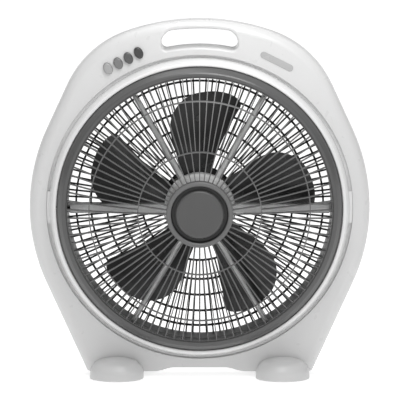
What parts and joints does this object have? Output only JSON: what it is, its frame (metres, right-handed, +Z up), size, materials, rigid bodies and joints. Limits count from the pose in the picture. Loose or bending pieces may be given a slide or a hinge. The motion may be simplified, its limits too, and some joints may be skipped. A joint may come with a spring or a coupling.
{
  "type": "box fan",
  "caption": "Free-standing box fan with a rounded white housing, carrying handle, domed louvre wheel, push keys, rear grille and two shoe feet.",
  "frame": {"origin": "on the floor, under the middle of the fan's bounding box", "axes": "+X to the right as seen from the front, +Y to the back, +Z up; the wheel axis runs along Y at Z = 0.249 m"},
  "size_m": [0.4946, 0.162, 0.5214],
  "materials": {
    "shell_white": "smooth white ABS, light gloss",
    "bezel_white": "polished white ABS",
    "foot_grey": "satin pale grey",
    "grille_dark": "satin dark grey, lightly grained",
    "cap_grey": "satin dark grey",
    "spider_grey": "satin mid grey",
    "duct_grey": "satin, near black",
    "rear_black": "satin black",
    "blade_black": "near black, light gloss",
    "badge_plate": "blank plate",
    "screw_steel": "zinc-plated steel",
    "shaft_steel": "ground steel",
    "core_steel": "laminated electrical steel",
    "motor_shell": "black lacquer",
    "synchro_can": "tinned can",
    "winding": "enamelled copper",
    "bronze": "sintered bronze",
    "rubber_black": "matt rubber",
    "pad_rubber": "matt rubber",
    "capacitor_case": "black case",
    "switch_case": "unpainted plastic",
    "key_light": "light grey",
    "key_mid": "mid grey",
    "key_dark": "dark grey",
    "key_darkest": "darkest grey",
    "stem_white": "natural acetal",
    "spring_steel": "spring wire",
    "cable": "insulated leads"
  },
  "bodies": {
    "housing": {"front_housing": "shell_white", "rear_housing": "shell_white", "bezel_ring": "bezel_white", "air_duct": "duct_grey", "rear_grille": "rear_black", "cord_gland": "rubber_black", "name_badge": "badge_plate", "housing_screws": "screw_steel", "spider": "spider_grey", "spider_screws": "screw_steel", "louvre_motor": "synchro_can", "louvre_motor_screws": "screw_steel", "motor_front_shell": "motor_shell", "motor_rear_shell": "motor_shell", "stator_core": "core_steel", "stator_coils": "winding", "front_bush": "bronze", "rear_bush": "bronze", "motor_screws": "screw_steel", "motor_cover": "rear_black", "capacitor": "capacitor_case", "capacitor_screw": "screw_steel", "switch_block": "switch_case", "left_foot": "foot_grey", "right_foot": "foot_grey", "left_foot_pads": "pad_rubber", "right_foot_pads": "pad_rubber", "foot_screws": "screw_steel", "wiring": "cable", "terminal_block": "switch_case", "terminal_screw": "screw_steel", "spring_off": "spring_steel", "spring_low": "spring_steel", "spring_medium": "spring_steel", "spring_high": "spring_steel"},
    "impeller": {"impeller": "blade_black", "impeller_nut": "blade_black", "motor_shaft": "shaft_steel", "rotor_core": "core_steel"},
    "louvre_wheel": {"louvre_grille": "grille_dark", "louvre_rim": "grille_dark", "louvre_hub": "grille_dark", "louvre_cap": "cap_grey", "louvre_shaft": "shaft_steel", "louvre_screw": "screw_steel"},
    "key_off": {"button_off": "key_light", "stem_off": "stem_white"},
    "key_low": {"button_low": "key_mid", "stem_low": "stem_white"},
    "key_medium": {"button_medium": "key_dark", "stem_medium": "stem_white"},
    "key_high": {"button_high": "key_darkest", "stem_high": "stem_white"}
  },
  "joints": [
    {"name": "fan_spin", "type": "hinge", "parent": "housing", "child": "impeller", "pos_m": [0, 0.047, 0.249], "axis": [0, 1, 0], "continuous": true},
    {"name": "louvre_spin", "type": "hinge", "parent": "housing", "child": "louvre_wheel", "pos_m": [0, -0.053, 0.249], "axis": [0, 1, 0], "continuous": true},
    {"name": "key_off_press", "type": "slide", "parent": "housing", "child": "key_off", "axis": [0, 1, 0], "range_m": [0, 0.0045], "stiffness_N_per_m": 300, "deforming": ["spring_off"]},
    {"name": "key_low_press", "type": "slide", "parent": "housing", "child": "key_low", "axis": [0, 1, 0], "range_m": [0, 0.0045], "stiffness_N_per_m": 300, "deforming": ["spring_low"]},
    {"name": "key_medium_press", "type": "slide", "parent": "housing", "child": "key_medium", "axis": [0, 1, 0], "range_m": [0, 0.0045], "stiffness_N_per_m": 300, "deforming": ["spring_medium"]},
    {"name": "key_high_press", "type": "slide", "parent": "housing", "child": "key_high", "axis": [0, 1, 0], "range_m": [0, 0.0045], "stiffness_N_per_m": 300, "deforming": ["spring_high"]}
  ]
}
